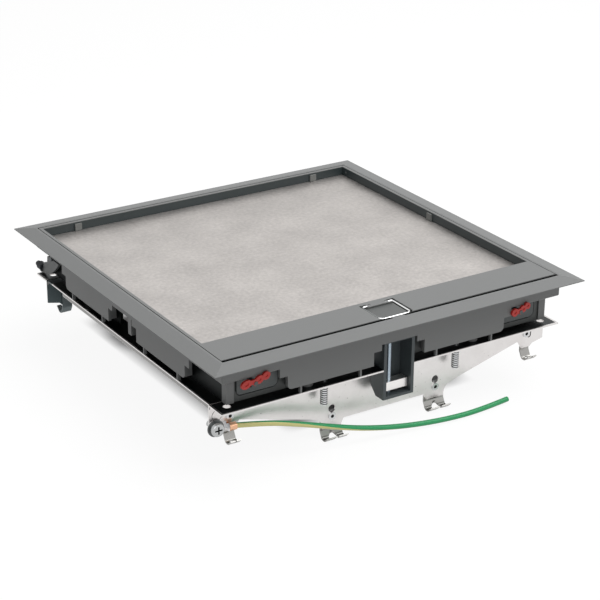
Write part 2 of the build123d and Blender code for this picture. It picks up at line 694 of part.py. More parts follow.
def lock_lever(pivot, length):
    """Wavy lever with three lobes, in front of the side wall."""
    eye = (pivot, below(LEVER_DEPTH))
    front = BAND_HALF + SLIDING
    face = Pos(*eye) * Circle(LEVER_EYE)
    dishes = []
    middles = []
    for along, rise, half_length, half_height, tilt in LEVER_LOBES:
        middle = (eye[0] + along * length, eye[1] + rise)
        half_length = half_length * length / 19.0
        face = face + Pos(*middle) * Rot(0, 0, tilt) * Ellipse(half_length, half_height)
        dishes.append(Pos(*middle) * Rot(0, 0, tilt) * Ellipse(half_length * 0.4, half_height * 0.35))
        middles.append(middle)
    for start, end in zip(middles, middles[1:]):
        link = outline([
            (start[0], start[1] - LEVER_LINK),
            (end[0], end[1] - LEVER_LINK),
            (end[0], end[1] + LEVER_LINK),
            (start[0], start[1] + LEVER_LINK),
        ])
        face = face + link
    lever = extrude(front_plane(front) * face, LEVER_THICK)
    for dish in dishes:
        lever = lever - extrude(front_plane(front + LEVER_THICK * 0.75) * dish, LEVER_THICK)
    return lever - forward(pivot, LEVER_DEPTH, front - 1, front + LEVER_THICK + 1, LEVER_PIN_R + RUNNING)


def lever_pin(pivot):
    """Sleeved pin of one lever, pressed into its lock plate."""
    plate_back = INNER_HALF - LOCK_POCKET
    sleeve_end = BAND_HALF + SLIDING - RUNNING
    front = BAND_HALF + SLIDING + LEVER_THICK + RUNNING
    pin = forward(pivot, LEVER_DEPTH, plate_back, front + RUNNING, LEVER_PIN_R)
    pin = pin + forward(pivot, LEVER_DEPTH, plate_back + LOCK_THICK, sleeve_end, LEVER_SLEEVE_R)
    return pin + forward(pivot, LEVER_DEPTH, front, front + SLIDING, LEVER_SLEEVE_R)


def clamp_housing():
    """Open-fronted housing that guides the clamp plate."""
    low, top = below(HOUSING_LOW), below(HOUSING_TOP)
    body = block(around(0, HOUSING_HALF), (-BAND_HALF, -HOUSING_BACK), (low, top))
    body = chamfer(body.edges().filter_by(Axis.X).group_by(Axis.Z)[0].sort_by(Axis.Y)[-1], HOUSING_SLOPE)
    inner = HOUSING_HALF - CHEEK
    room_z = (low + CHEEK * 0.8, top - BRIDGE)
    body = body - block((-inner, 0), (-BAND_HALF - 1, -GUIDE_FACE), room_z)
    body = body - block((-SEATED, inner), (-BAND_HALF - 1, -HOUSING_BACK - CHEEK), room_z)
    wall_y = (-BAND_HALF - 1, -BAND_HALF + WALL + SLIDING)
    body = body - block(around(0, HOUSING_HALF + 1), wall_y, (below(NOTCH_DEPTH + SEATED), top + 1))
    return body - upright(SPINDLE_X, -SPINDLE_Y, low - 1, top + 1, SPINDLE_R + RUNNING)


def clamp_spindle():
    """Threaded spindle with a slotted end, carried in the housing's floor and bridge."""
    low, top = below(HOUSING_LOW), below(HOUSING_TOP)
    shank = upright(SPINDLE_X, -SPINDLE_Y, low + SLIDING, top, SPINDLE_R)
    collar_top = top - BRIDGE - SLIDING
    collar = upright(SPINDLE_X, -SPINDLE_Y, collar_top - COLLAR, collar_top, SPINDLE_R + 0.8)
    slot_z = (top - SPINDLE_R / 2, top + 1)
    slot = block(around(SPINDLE_X, SPINDLE_R + 1), around(-SPINDLE_Y, SLIDING), slot_z)
    return shank + collar - slot


def clamp_plate():
    """Nut plate with a front flange and a short tail that climbs the spindle."""
    top = below(CLAMP_DEPTH)
    profile = outline([
        (-CLAMP_FRONT, top),
        (-CLAMP_BACK, top),
        (-CLAMP_BACK, top - CLAMP_STEEL),
        (-CLAMP_FRONT + CLAMP_STEEL, top - CLAMP_STEEL),
        (-CLAMP_FRONT + CLAMP_STEEL, top - CLAMP_FLANGE),
        (-CLAMP_FRONT, top - CLAMP_FLANGE),
    ])
    plate = extrude(side_plane(-CLAMP_HALF) * profile, 2 * CLAMP_HALF)
    tail = outline([
        (-CLAMP_HALF, top - CLAMP_STEEL),
        (-CLAMP_HALF + CLAMP_TAIL, top - CLAMP_STEEL),
        (-CLAMP_HALF + CLAMP_TAIL / 2, below(HOUSING_LOW) + CHEEK + SLIDING),
    ])
    plate = plate + extrude(front_plane(CLAMP_FRONT - CLAMP_STEEL) * tail, CLAMP_STEEL)
    return plate - upright(SPINDLE_X, -SPINDLE_Y, top - 3, top + 1, SPINDLE_R + RUNNING)


def rear_claw(sign):
    """D-shaped claw that swings on a pin at the back of a side wall."""
    y, z = CLAW_Y, below(CLAW_DEPTH)
    edge = outline([
        (y + 6.8, z - 0.6),
        (y + 7.4, z - 5.0),
        (y + 13.2, z - 7.2),
        (y + 14.0, z - 11.5),
        (y + 20.0, z - 15.0),
        (y + 16.5, z - 15.5),
        (y + 2.7, z - 11.8),
        (y - 3.8, z - 7.0),
        (y - 7.9, z - 3.3),
        (y - 10.4, z - 0.6),
    ])
    face = edge + Pos(y, z) * Circle(CLAW_PIN_R + 1.2)
    plate = extrude(side_plane(sign * CLAW_X - CLAW_THICK / 2) * face, CLAW_THICK)
    ends = [(sign * (CLAW_X - 3), y, z), (sign * (CLAW_X + 3), y, z)]
    return plate - rod(*ends, CLAW_PIN_R + RUNNING)


def claw_pin(sign):
    """Headed pin of a claw, pressed into the recessed wall."""
    y, z = CLAW_Y, below(CLAW_DEPTH)
    head = CLAW_X + CLAW_THICK / 2 + SLIDING
    pin = rod((sign * (INNER_HALF - WALL), y, z), (sign * (head + 0.5), y, z), CLAW_PIN_R)
    return pin + rod((sign * head, y, z), (sign * (head + 0.7), y, z), CLAW_PIN_R + 0.6)


def claw_knob(sign):
    """Stepped rubber knob pushed over the tail of a claw."""
    z = below(KNOB_DEPTH)
    knob = rod((sign * CLAW_X, KNOB_FROM, z), (sign * CLAW_X, KNOB_STEP, z), KNOB_R)
    tip = rod((sign * CLAW_X, KNOB_STEP - 1, z), (sign * CLAW_X, KNOB_TO, z), KNOB_TIP_R)
    tip = fillet(tip.edges().group_by(Axis.Y)[-1], 0.8)
    return knob + tip - rear_claw(sign)


def earth_screw():
    """Cross-recessed screw of the earth terminal."""
    z = below(EARTH_DEPTH)
    seat = -SKIRT_Y - 2 * LUG_STEEL
    head = rod((EARTH_X, seat, z), (EARTH_X, seat - EARTH_HEAD, z), EARTH_HEAD_R - 1)
    head = fillet(head.edges().group_by(Axis.Y)[0], 1.0)
    depth = (seat - EARTH_HEAD - 1, seat - EARTH_HEAD / 2)
    wide, slim = around(EARTH_X, CROSS_HALF), around(EARTH_X, CROSS_WIDTH / 2)
    cross = block(wide, depth, around(z, CROSS_WIDTH / 2)) + block(slim, depth, around(z, CROSS_HALF))
    return head + rod((EARTH_X, seat, z), (EARTH_X, -SKIRT_Y + 6, z), SCREW_R) - cross


def earth_washer():
    """Plain washer under the screw head."""
    front = SKIRT_Y + LUG_STEEL
    disc = forward(EARTH_X, EARTH_DEPTH, front, front + LUG_STEEL, EARTH_HEAD_R)
    return disc - forward(EARTH_X, EARTH_DEPTH, front - 1, front + 3, SCREW_R + SEATED)


def crimp_lug():
    """Ring lug with the barrel that holds the wire."""
    z = below(EARTH_DEPTH)
    plate = forward(EARTH_X, EARTH_DEPTH, SKIRT_Y, SKIRT_Y + LUG_STEEL, LUG_R)
    neck = block((EARTH_X, BARREL_FROM + 1), (-SKIRT_Y - LUG_STEEL, -SKIRT_Y), around(z, NECK_HALF))
    barrel = rod((BARREL_FROM, WIRE_START[1], WIRE_START[2]), WIRE_START, BARREL_R)
    return plate + neck + barrel - forward(EARTH_X, EARTH_DEPTH, SKIRT_Y - 1, SKIRT_Y + 3, SCREW_R + SEATED)


def wire_points():
    """Route of the wire's centre line, from the lug down to the floor."""
    floor = WIRE_D / 2
    points = [WIRE_START]
    for along, ahead, share in WIRE_ROUTE:
        points.append((EARTH_X + along, -SKIRT_Y - ahead, floor + share * (WIRE_START[2] - floor)))
    return points


def corner_radii(points):
    """Largest gentle arc at each inner point of a route."""
    radii = []
    for before, point, after in zip(points, points[1:], points[2:]):
        first, second = Vector(*point) - Vector(*before), Vector(*after) - Vector(*point)
        turn = radians(first.get_angle(second))
        radii.append(0.45 * min(first.length, second.length) / tan(turn / 2))
    return radii


def earth_wire():
    """Free length of wire, from the lug to its cut end."""
    points = wire_points()
    radii = corner_radii(points)
    print("wire radii", [round(radius) for radius in radii])
    path = FilletPolyline(*points, radius=radii)
    section = Plane(origin=path @ 0, z_dir=path % 0) * Circle(WIRE_D / 2)
    tube = sweep(section, path)
    expected = pi * (WIRE_D / 2) ** 2 * path.length
    print("wire length", round(path.length, 1), "volume share", round(tube.volume / expected, 4))
    return tube


def save(name, shape):
    """Write one piece, or a group of separate solids, as parts/NAME.step."""
    if isinstance(shape, list):
        shape = Compound(children=[Solid(piece.solid().wrapped) for piece in shape])
    else:
        shape = shape.solid()
    shape.label = name
    export_step(shape, f"parts/{name}.step")


def save_corners():
    """Plates, levers and pins of the four corner locks."""
    opposite = {"front_left": "back_right", "front_right": "back_left"}
    for corner, (centre, pivot, length) in LOCKS.items():
        pieces = {
            "lock_plate": lock_plate(centre, pivot),
            "lock_lever": lock_lever(pivot, length),
            "lever_pin": lever_pin(pivot),
        }
        for kind, piece in pieces.items():
            save(f"{kind}_{corner}", piece)
            save(f"{kind}_{opposite[corner]}", Rot(0, 0, 180) * piece)


def save_clips():
    """Hook clips and rivets of both skirts."""
    inner = [hook_clip(sign * CLIP_INNER, RIVET_INNER, 0, INNER_WIDTH) for sign in (-1, 1)]
    outer = [hook_clip(sign * CLIP_OUTER, RIVET_OUTER, below(OUTER_FOOT), OUTER_WIDTH) for sign in (-1, 1)]
    groups = {"hook_clips_{}_inner": inner, "hook_clips_{}_outer": outer, "clip_rivets_{}": rivets()}
    for name, pieces in groups.items():
        save(name.format("front"), pieces)
        save(name.format("back"), [Rot(0, 0, 180) * piece for piece in pieces])


def main():
    os.makedirs("parts", exist_ok=True)
    makers = [
        frame_body, lid_frame, lid_sheet, sheet_lugs, lid_seal, bail_handle, latch_bolt, latch_spring,
        support_screws, levelling_screws, clamp_housing, clamp_spindle, clamp_plate,
        earth_screw, earth_washer, crimp_lug, earth_wire,
    ]
    for maker in makers:
        save(maker.__name__, maker())
    for maker in (hinge_pin, side_rail, rear_claw, claw_pin, claw_knob):
        for side, sign in (("left", -1), ("right", 1)):
            save(f"{maker.__name__}_{side}", maker(sign))
    save("front_angle", angle(True))
    save("back_angle", Rot(0, 0, 180) * angle(False))
    save_corners()
    save_clips()


main()
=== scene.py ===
# %% [markdown]
# # Dressing a floor socket box
# The solids of the box arrive as a fixed frame: every piece stands where it was built, in metres,
# with the feet on z = 0 and the lid's bar towards -Y. This notebook only adds what the eye needs:
# finishes, threads, small pressed details, a studio and a camera.

# %% Load the frame
import math

import bmesh
import bpy
from mathutils import Matrix, Vector


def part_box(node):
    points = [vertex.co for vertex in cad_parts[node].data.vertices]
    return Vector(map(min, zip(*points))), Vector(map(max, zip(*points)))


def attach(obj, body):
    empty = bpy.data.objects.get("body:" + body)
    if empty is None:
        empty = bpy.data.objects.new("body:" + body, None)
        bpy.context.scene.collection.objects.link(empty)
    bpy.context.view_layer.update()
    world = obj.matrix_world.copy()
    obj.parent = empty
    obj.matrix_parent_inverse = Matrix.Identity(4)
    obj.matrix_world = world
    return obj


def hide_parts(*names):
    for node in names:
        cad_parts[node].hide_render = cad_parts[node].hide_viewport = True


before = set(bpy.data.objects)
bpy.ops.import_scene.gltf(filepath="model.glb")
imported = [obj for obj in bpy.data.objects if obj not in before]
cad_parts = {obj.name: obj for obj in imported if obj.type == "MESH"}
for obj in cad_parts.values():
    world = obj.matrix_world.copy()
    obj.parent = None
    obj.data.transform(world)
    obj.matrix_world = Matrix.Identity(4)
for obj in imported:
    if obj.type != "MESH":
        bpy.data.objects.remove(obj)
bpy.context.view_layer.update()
MM = 0.001
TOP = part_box("frame_body")[1][2]
print("nodes", len(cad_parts), "top plane at", round(TOP, 4))

# %% [markdown]
# ## The camera
# A photograph's view is four numbers for the direction and distance, and two for how far the
# picture's middle lies from the box's middle. They were fitted to the corners of the flange and
# of the lid's opening, whose real sizes are known, so the box fills the frame as it does there.

# %% Place the camera
IMAGE = 600
AZIMUTH = math.radians(-32.616)
ELEVATION = math.radians(23.496)
ROLL = math.radians(0.458)
DISTANCE = 1187.8 * MM
AIM_RIGHT = 5.985 * MM
AIM_UP = -31.263 * MM
FOCAL_IN_PIXELS = 1861.1
SENSOR = 36.0


def camera_axes():
    """Right, up and backward directions of the picture."""
    back = Vector((
        math.sin(AZIMUTH) * math.cos(ELEVATION),
        -math.cos(AZIMUTH) * math.cos(ELEVATION),
        math.sin(ELEVATION),
    ))
    level = Vector((0, 0, 1)).cross(back).normalized()
    upright = back.cross(level)
    right = level * math.cos(ROLL) + upright * math.sin(ROLL)
    up = upright * math.cos(ROLL) - level * math.sin(ROLL)
    return right, up, back


def place_camera():
    """Camera at the fitted distance, with the fitted lens."""
    right, up, back = camera_axes()
    data = bpy.data.cameras.new("studio_camera")
    data.sensor_width = SENSOR
    data.lens = FOCAL_IN_PIXELS / IMAGE * SENSOR
    data.clip_start = 0.05
    camera = bpy.data.objects.new("studio_camera", data)
    place = back * DISTANCE + right * AIM_RIGHT + up * AIM_UP + Vector((0, 0, TOP))
    turn = Matrix((right, up, back)).transposed().to_4x4()
    camera.matrix_world = Matrix.Translation(place) @ turn
    bpy.context.collection.objects.link(camera)
    bpy.context.scene.camera = camera
    return camera


camera = place_camera()
print("lens", round(camera.data.lens, 2), "mm")

# %% [markdown]
# ## The earth wire's line
# The wire is a stiff single core in green and yellow. It leaves the crimped lug straight, sinks
# under its own weight past the front of the inner hook and lies on the floor, ending in a clean
# cut. A NURBS spline through a few control points gives the one smooth bend that such a wire takes.

# %% Lay the wire
WIRE_DIAMETER = 3.3 * MM
WIRE_ROUTE = [
    (-106.5, -110.4, 27.6),
    (-88, -115.6, 26.6),
    (-68, -119.6, 22.0),
    (-48, -121.6, 15.8),
    (-29, -123.4, 10.3),
    (-9, -125.2, 6.2),
    (12, -127.2, 3.6),
    (34, -128.8, 2.3),
    (57, -129.4, 2.2),
    (80, -126.6, 2.6),
]


def spline_curve(name, points, radius):
    """Round bar along one open spline with the given control points."""
    curve = bpy.data.curves.new(name, "CURVE")
    curve.dimensions = "3D"
    curve.bevel_depth = 1.0  # times each point's radius, so the curve's bounds stay true
    curve.bevel_resolution = 6
    curve.resolution_u = 10
    curve.use_fill_caps = True
    line = curve.splines.new("NURBS")
    line.points.add(len(points) - 1)
    for point, place in zip(line.points, points):
        point.co = (*place, 1)
        point.radius = radius
    line.order_u = 3
    line.use_endpoint_u = True
    piece = bpy.data.objects.new(name, curve)
    bpy.context.collection.objects.link(piece)
    return piece


wire = spline_curve("green_yellow_wire", [Vector(p) * MM for p in WIRE_ROUTE], WIRE_DIAMETER / 2)
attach(wire, "frame")
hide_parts("earth_wire")

# %% [markdown]
# ## Node maths in plain Python
# A shader is a sum of small formulas. Wrapping a socket in a class with +, - and * lets each
# finish be written as an expression, and one method adds any other node by its type.

# %% A socket that does arithmetic
class Value:
    """A socket that takes part in node arithmetic."""

    def __init__(self, finish, socket):
        self.finish = finish
        self.socket = socket

    def _with(self, operation, other, swapped=False):
        first, second = (other, self) if swapped else (self, other)
        return self.finish.node(
            "ShaderNodeMath", {"operation": operation}, {0: first, 1: second})

    def __add__(self, other):
        return self._with("ADD", other)

    def __sub__(self, other):
        return self._with("SUBTRACT", other)

    def __rsub__(self, other):
        return self._with("SUBTRACT", other, swapped=True)

    def __mul__(self, other):
        return self._with("MULTIPLY", other)

    def above(self, other):
        return self._with("GREATER_THAN", other)

    def below(self, other):
        return self._with("LESS_THAN", other)


# a colour mix has several sockets with one name, so they are taken by number
MIX_SHARE, MIX_FIRST, MIX_SECOND, MIX_RESULT = 0, 6, 7, 2


class Finish:
    """One material, built from node formulas that end in a single Principled shader."""

    def __init__(self, name):
        self.material = bpy.data.materials.new(name)
        self.material.use_nodes = True
        self.tree = self.material.node_tree
        self.shader = self.tree.nodes["Principled BSDF"]

    def node(self, kind, settings=None, sockets=None, output=0):
        """Adds a node: its settings first, then the values or links of its sockets."""
        made = self.tree.nodes.new(kind)
        for key, setting in (settings or {}).items():
            if key == "stops":
                self._stops(made.color_ramp, setting)
            else:
                setattr(made, key, setting)
        for key, given in (sockets or {}).items():
            self.plug(made.inputs[key], given)
        return Value(self, made.outputs[output])

    def _stops(self, ramp, stops):
        while len(ramp.elements) < len(stops):
            ramp.elements.new(0.5)
        for element, (place, colour) in zip(ramp.elements, stops):
            element.position = place
            element.color = (*colour, 1) if len(colour) == 3 else colour

    def plug(self, socket, given):
        """Sets a socket to a number or colour, or links it."""
        if isinstance(given, Value):
            self.tree.links.new(given.socket, socket)
        elif isinstance(given, tuple) and len(given) == 3 and socket.type == "RGBA":
            socket.default_value = (*given, 1)
        else:
            socket.default_value = given

    def place(self):
        """Coordinates of the object itself, in metres."""
        return self.node("ShaderNodeTexCoord", output="Object")

    def axes(self, spot):
        """The three numbers of a place, one by one."""
        parts = self.node("ShaderNodeSeparateXYZ", None, {0: spot}).socket.node.outputs
        return [Value(self, part) for part in parts]

    def noise(self, scale, detail=3.0, rough=0.5):
        """Soft noise, with its scale in cycles for each metre."""
        return self.node("ShaderNodeTexNoise", None, {
            "Vector": self.place(), "Scale": scale, "Detail": detail, "Roughness": rough,
        })

    def mix(self, share, first, second):
        """Colour between two colours."""
        return self.node(
            "ShaderNodeMix", {"data_type": "RGBA"},
            {MIX_SHARE: share, MIX_FIRST: first, MIX_SECOND: second}, output=MIX_RESULT)

    def ramp(self, share, stops):
        """Colour or grey read from a ramp."""
        return self.node("ShaderNodeValToRGB", {"stops": stops}, {0: share})

    def bump(self, height, strength, distance):
        """Relief that feeds the shader's normal."""
        relief = self.node("ShaderNodeBump", None, {
            "Strength": strength, "Distance": distance, "Height": height,
        })
        self.plug(self.shader.inputs["Normal"], relief)

    def zone(self, x, y, z):
        """One inside the limits in millimetres along each axis, and zero outside them."""
        inside = None
        for along, (low, high) in zip(self.axes(self.place()), (x, y, z)):
            part = along.above(low * MM) * along.below(high * MM)
            inside = part if inside is None else inside * part
        return inside

    def soft_zone(self, x, y, edge):
        """Like zone, but rising from zero to one over an edge of this many millimetres."""
        inside = 1.0
        for along, (low, high) in zip(self.axes(self.place()), (x, y)):
            for start, end in ((low, low + edge), (high, high - edge)):
                rise = self.node("ShaderNodeMapRange", None, {
                    "Value": along, "From Min": start * MM, "From Max": end * MM,
                })
                inside = rise * inside
        return inside

    def set(self, **sockets):
        """Sets or links the shader's own sockets, named with underscores for spaces."""
        for key, given in sockets.items():
            self.plug(self.shader.inputs[key.replace("_", " ")], given)


def about(noise, middle, spread):
    """Numbers that follow a noise and are spread about a middle."""
    return noise * spread + (middle - spread / 2)


print("node maths ready")

# %% [markdown]
# ## Moulded plastic
# The frame and lid are glass-filled nylon in iron grey. Close up such plastic has a fine
# spark-eroded grain, so it is never mirror smooth: a dense noise gives the relief, and a slow noise
# shifts the tone and gloss a little, as handling does.

# %% Plastic finishes
HANDLING_SCALE = 18  # slow change of tone and gloss, in cycles for each metre
GRAIN_SCALE = 2600
GRAIN_DEPTH = 0.12 * MM
PLASTIC_GLOSS_SPREAD = 0.12


def plastic(name, colour, roughness, grain=0.12, variation=0.06, zones=()):
    """Moulded plastic. A zone is its limits along x, y and z, and the colour painted there: painted
    shade, or a painted reflection.
    """
    finish = Finish(name)
    slow = finish.noise(HANDLING_SCALE, detail=4)
    darker = tuple(c * (1 - variation) for c in colour)
    lighter = tuple(c * (1 + variation) for c in colour)
    tone = finish.mix(slow, darker, lighter)
    deep = None
    for limits, zone_colour in zones:
        inside = finish.zone(*limits)
        tone = finish.mix(inside, tone, zone_colour)
        if zone_colour == SHADE:
            deep = inside if deep is None else deep + inside
    finish.set(Base_Color=tone, Roughness=about(slow, roughness, PLASTIC_GLOSS_SPREAD))
    if deep:
        finish.set(Metallic=deep)
    finish.bump(finish.noise(GRAIN_SCALE, detail=2), grain, GRAIN_DEPTH)
    return finish.material


# Millimetres. Deep places hardly see the light, and they read as near black in the photograph.
TOP_MM = TOP / MM
# Painted shade: the colours below darken the channel round the lid, the space under the lid, the
# frame's inner front wall, the lid's recess walls, its finger pad and groove, and strips along the
# lid's front edge.
SHADE = (0.010, 0.012, 0.012)  # counted as metal, so that it has no pale sheen
INNER_SHADE = (0.055, 0.06, 0.058)
PAD_SHADE = (0.085, 0.09, 0.088)
RECESS_SHADE = (0.022, 0.032, 0.034)
IN_RECESS = ((-117.2, 130), (-92, 130), (TOP_MM - 8, TOP_MM - 0.4))
IN_PAD = ((-12.6, 12.6), (-118.6, -95), (TOP_MM - 2.2, TOP_MM - 0.5))
IN_GROOVE = ((-13, 13), (-119.2, -95), (TOP_MM - 2.2, TOP_MM - 1.3))
LID_EDGE_LEFT = ((-130, -6), (-119.2, -118.0), (TOP_MM - 9, TOP_MM + 1))
LID_EDGE_RIGHT = ((5, 130), (-119.2, -117.8), (TOP_MM - 9, TOP_MM + 1))
IN_CHANNEL = ((-120.7, 120.7), (-120.7, 120.7), (TOP_MM - 13.8, TOP_MM - 0.35))
UNDER_LID = ((-115.1, 115.1), (-112.2, 115.1), (TOP_MM - 33, TOP_MM - 13.8))
FRONT_INNER = ((-115.1, 115.1), (-115.1, -112.2), (TOP_MM - 33, TOP_MM - 13.8))
IRON_GREY = (0.165, 0.169, 0.168)
iron_grey = plastic("iron_grey_plastic", IRON_GREY, 0.46,
                    zones=[(IN_CHANNEL, SHADE), (UNDER_LID, SHADE), (FRONT_INNER, INNER_SHADE)])
lid_grey = plastic("lid_grey_plastic", IRON_GREY, 0.44,
                   zones=[(IN_RECESS, RECESS_SHADE), (IN_PAD, PAD_SHADE), (IN_GROOVE, SHADE),
                          (LID_EDGE_LEFT, SHADE), (LID_EDGE_RIGHT, SHADE)])
lug_grey = plastic("lug_plastic", (0.16, 0.166, 0.16), 0.5)
# Painted shade: the lock plates and lever pins are painted darker than the frame, for the recess
# they sit in.
lock_grey = plastic("lock_plate_plastic", (0.082, 0.092, 0.092), 0.45)
# Painted reflection: a strip of the housing's back wall beside the spindle is painted lighter.
GUIDE_WALL_REFLECTION = ((-9, 0.1), (-112.4, -107), (TOP_MM - 51, TOP_MM - 15))
slate = plastic("slate_housing_plastic", (0.05, 0.062, 0.066), 0.42,
                zones=[(GUIDE_WALL_REFLECTION, (0.095, 0.105, 0.108))])
latch_grey = plastic("latch_plastic", (0.19, 0.195, 0.19), 0.45)
claw_grey = plastic("claw_plastic", (0.13, 0.136, 0.134), 0.5)
lever_red = plastic("lever_red_plastic", (0.52, 0.02, 0.012), 0.3, grain=0.05)
seal_black = plastic("seal_rubber", (0.012, 0.012, 0.012), 0.75, grain=0.25)
knob_black = plastic("knob_rubber", (0.015, 0.018, 0.022), 0.7, grain=0.25)
print("plastic finishes made")

# %% [markdown]
# ## Galvanised steel
# Hot zinc leaves a soft patchwork of crystals that part blur into pale stains, and rolling leaves
# faint lines along the sheet. The tone comes from a broad noise over cell edges, and the gloss
# follows the same pattern, so reflections break up as they do on real sheet.

# %% Metal finishes
BROAD_SHARE, FINE_SHARE, SPECK_SHARE = 0.34, 0.56, 0.1  # of the zinc's tone
SPECK_FULL, SPECK_GONE = 0.22, 0.28  # noise below the first is a dark speck
SPECK_TONE = 0.62
SPECKS_FINER = 6  # times finer than the mottling
RELIEF_BROAD, RELIEF_FINE = 0.6, 0.4
RELIEF_STRENGTH, RELIEF_DEPTH = 0.08, 0.2 * MM
ZINC_GLOSS_SPREAD = 0.22
METAL_GLOSS_SPREAD = 0.14
WEAR_SCALE, WORN_TONE = 400, 0.86
WHITE, BLACK = (1, 1, 1), (0, 0, 0)


def galvanised(name, dark, light, roughness, mottle, stains, contrast=2.4, zones=()):
    """Zinc coat: fine mottling, broad pale stains and a few dark specks, with painted shade over
    any zones.
    """
    finish = Finish(name)
    broad = finish.noise(stains, detail=4, rough=0.55)
    fine = finish.noise(mottle, detail=6, rough=0.62)
    specks = finish.noise(mottle * SPECKS_FINER, detail=1)
    tone = broad * BROAD_SHARE + fine * FINE_SHARE + specks * SPECK_SHARE
    share = finish.node("ShaderNodeClamp", None, {"Value": (tone - 0.5) * contrast + 0.5})
    speck = finish.ramp(specks, [(0.0, WHITE), (SPECK_FULL, WHITE), (SPECK_GONE, BLACK)])
    speck_colour = tuple(c * SPECK_TONE for c in dark)
    base = finish.mix(speck, finish.mix(share, dark, light), speck_colour)
    for limits, zone_colour in zones:
        base = finish.mix(finish.zone(*limits), base, zone_colour)
    finish.set(Base_Color=base, Roughness=about(tone, roughness, ZINC_GLOSS_SPREAD), Metallic=1.0)
    finish.bump(broad * RELIEF_BROAD + fine * RELIEF_FINE, RELIEF_STRENGTH, RELIEF_DEPTH)
    return finish.material


def bright_metal(name, colour, roughness, zones=()):
    """Plated or bare metal with fine wear in its tone and gloss. A zone paints a colour over its
    limits: painted shade, or the lug's tinned ring.
    """
    finish = Finish(name)
    wear = finish.noise(WEAR_SCALE, detail=4, rough=0.6)
    tone = finish.mix(wear, tuple(c * WORN_TONE for c in colour), colour)
    for limits, zone_colour in zones:
        tone = finish.mix(finish.zone(*limits), tone, zone_colour)
    finish.set(Base_Color=tone, Metallic=1.0,
               Roughness=about(wear, roughness, METAL_GLOSS_SPREAD))
    return finish.material


# Painted shade and reflection: the support's top under the frame is painted near black.
SUPPORT_TOP = ((-120.6, 120.6), (-120.6, 120.6), (42.96, 43.1))
# Painted shade: the outer faces of the side rails' lips are painted grey.
LIP_LEFT = ((-122, -121.3), (-130, 130), (40.1, 42.2))
LIP_RIGHT = ((121.3, 122), (-130, 130), (40.1, 42.2))
# Painted shade: the bail's left arm is painted darker.
BAIL_LEFT = ((-12, -10.2), (-114.8, -96), (60, 80))
LIP_SHADE = (0.27, 0.265, 0.26)
# Painted shade: the inside face of the back skirt is painted dark.
BACK_INSIDE = ((-123, 123), (100, 106.9), (-1, 43.1))
ZINC = (0.66, 0.665, 0.67)
# Painted shade: the earth screw's cross recess is painted near black.
CROSS = ((-121.2, -116.2), (-112.2, -109), (25.6, 30.6))
sheet_steel = galvanised("lid_sheet_steel", (0.365, 0.346, 0.333), (0.535, 0.508, 0.487), 0.44,
                         mottle=420, stains=40, contrast=3.0)
skirt_steel = galvanised("support_steel", (0.66, 0.635, 0.625), (0.79, 0.77, 0.76), 0.34,
                         mottle=90, stains=34,
                         zones=[(SUPPORT_TOP, (0.03, 0.034, 0.035)),
                                (BACK_INSIDE, (0.075, 0.095, 0.10)),
                                (LIP_LEFT, LIP_SHADE), (LIP_RIGHT, LIP_SHADE)])
# Painted shade: the hook clips' feet by the floor are painted darker.
CLIP_FEET = ((-125, 125), (-125, 125), (-1, 2.2))
spring_steel = bright_metal("clip_spring_steel", (0.40, 0.395, 0.38), 0.32,
                            zones=[(CLIP_FEET, (0.2, 0.2, 0.19))])
shaded_spring = bright_metal("shaded_spring_steel", (0.12, 0.14, 0.145), 0.4)
zinc = bright_metal("zinc_plate", ZINC, 0.26)
screw_zinc = bright_metal("earth_screw_zinc", (0.50, 0.51, 0.51), 0.22,
                          zones=[(CROSS, (0.03, 0.03, 0.03))])
# Painted shade: a dark copy of the plated steel, worn by the levelling threads and the claw pins.
shaded_shank_steel = bright_metal("shaded_thread_steel", (0.07, 0.075, 0.08), 0.4)
spindle_steel = bright_metal("blued_spindle_steel", (0.40, 0.47, 0.53), 0.3)
washer_steel = bright_metal("washer_steel", (0.12, 0.125, 0.125), 0.3)
chrome = bright_metal("bail_chrome", (0.88, 0.88, 0.88), 0.12,
                      zones=[(BAIL_LEFT, (0.22, 0.23, 0.23))])
clamp_metal = bright_metal("clamp_plate_metal", (0.90, 0.88, 0.86), 0.34)
LUG_RING = ((-130, -111), (-112, -100), (20, 36))  # the tinned ring beside the copper barrel
copper = bright_metal("lug_copper", (0.80, 0.47, 0.30), 0.3, zones=[(LUG_RING, ZINC)])
hole_black = plastic("deep_hole", (0.008, 0.008, 0.008), 0.9, grain=0.02)
print("metal finishes made")

# %% [markdown]
# ## Green and yellow insulation
# The wire's yellow runs as a stripe along the green. The stripe is read from the curve's own
# texture map, whose second number goes once round the wire, so it follows every bend.

# %% Wire finish
STRIPE_TURN = 0.30  # turns the stripe to the wire's underside
STRIPE_FROM = 0.55  # part of the turn that is green where the wire leaves the lug
STRIPE_NARROWS = 0.5  # the wire rolls its stripe out of sight along its length
SMEAR_SCALE, WIRE_ROUGHNESS, WIRE_GLOSS_SPREAD = 300, 0.33, 0.1
WIRE_GREEN = (0.025, 0.36, 0.125)
WIRE_YELLOW = (0.78, 0.73, 0.30)


def wire_insulation():
    finish = Finish("green_yellow_insulation")
    along, turn, _ = finish.axes(finish.node("ShaderNodeTexCoord", output="UV"))
    stripe = finish.node("ShaderNodeMath", {"operation": "FRACT"}, {0: turn + STRIPE_TURN})
    yellow = stripe.above(along * STRIPE_NARROWS + STRIPE_FROM)
    finish.set(
        Base_Color=finish.mix(yellow, WIRE_GREEN, WIRE_YELLOW),
        Roughness=about(finish.noise(SMEAR_SCALE), WIRE_ROUGHNESS, WIRE_GLOSS_SPREAD),
    )
    return finish.material


wire.data.materials.append(wire_insulation())
print("wire insulation made")

# %% [markdown]
# ## Which piece wears what
# Single pieces are named in full. Families, such as the four lock levers, share the start of their
# names, so one entry dresses them all.

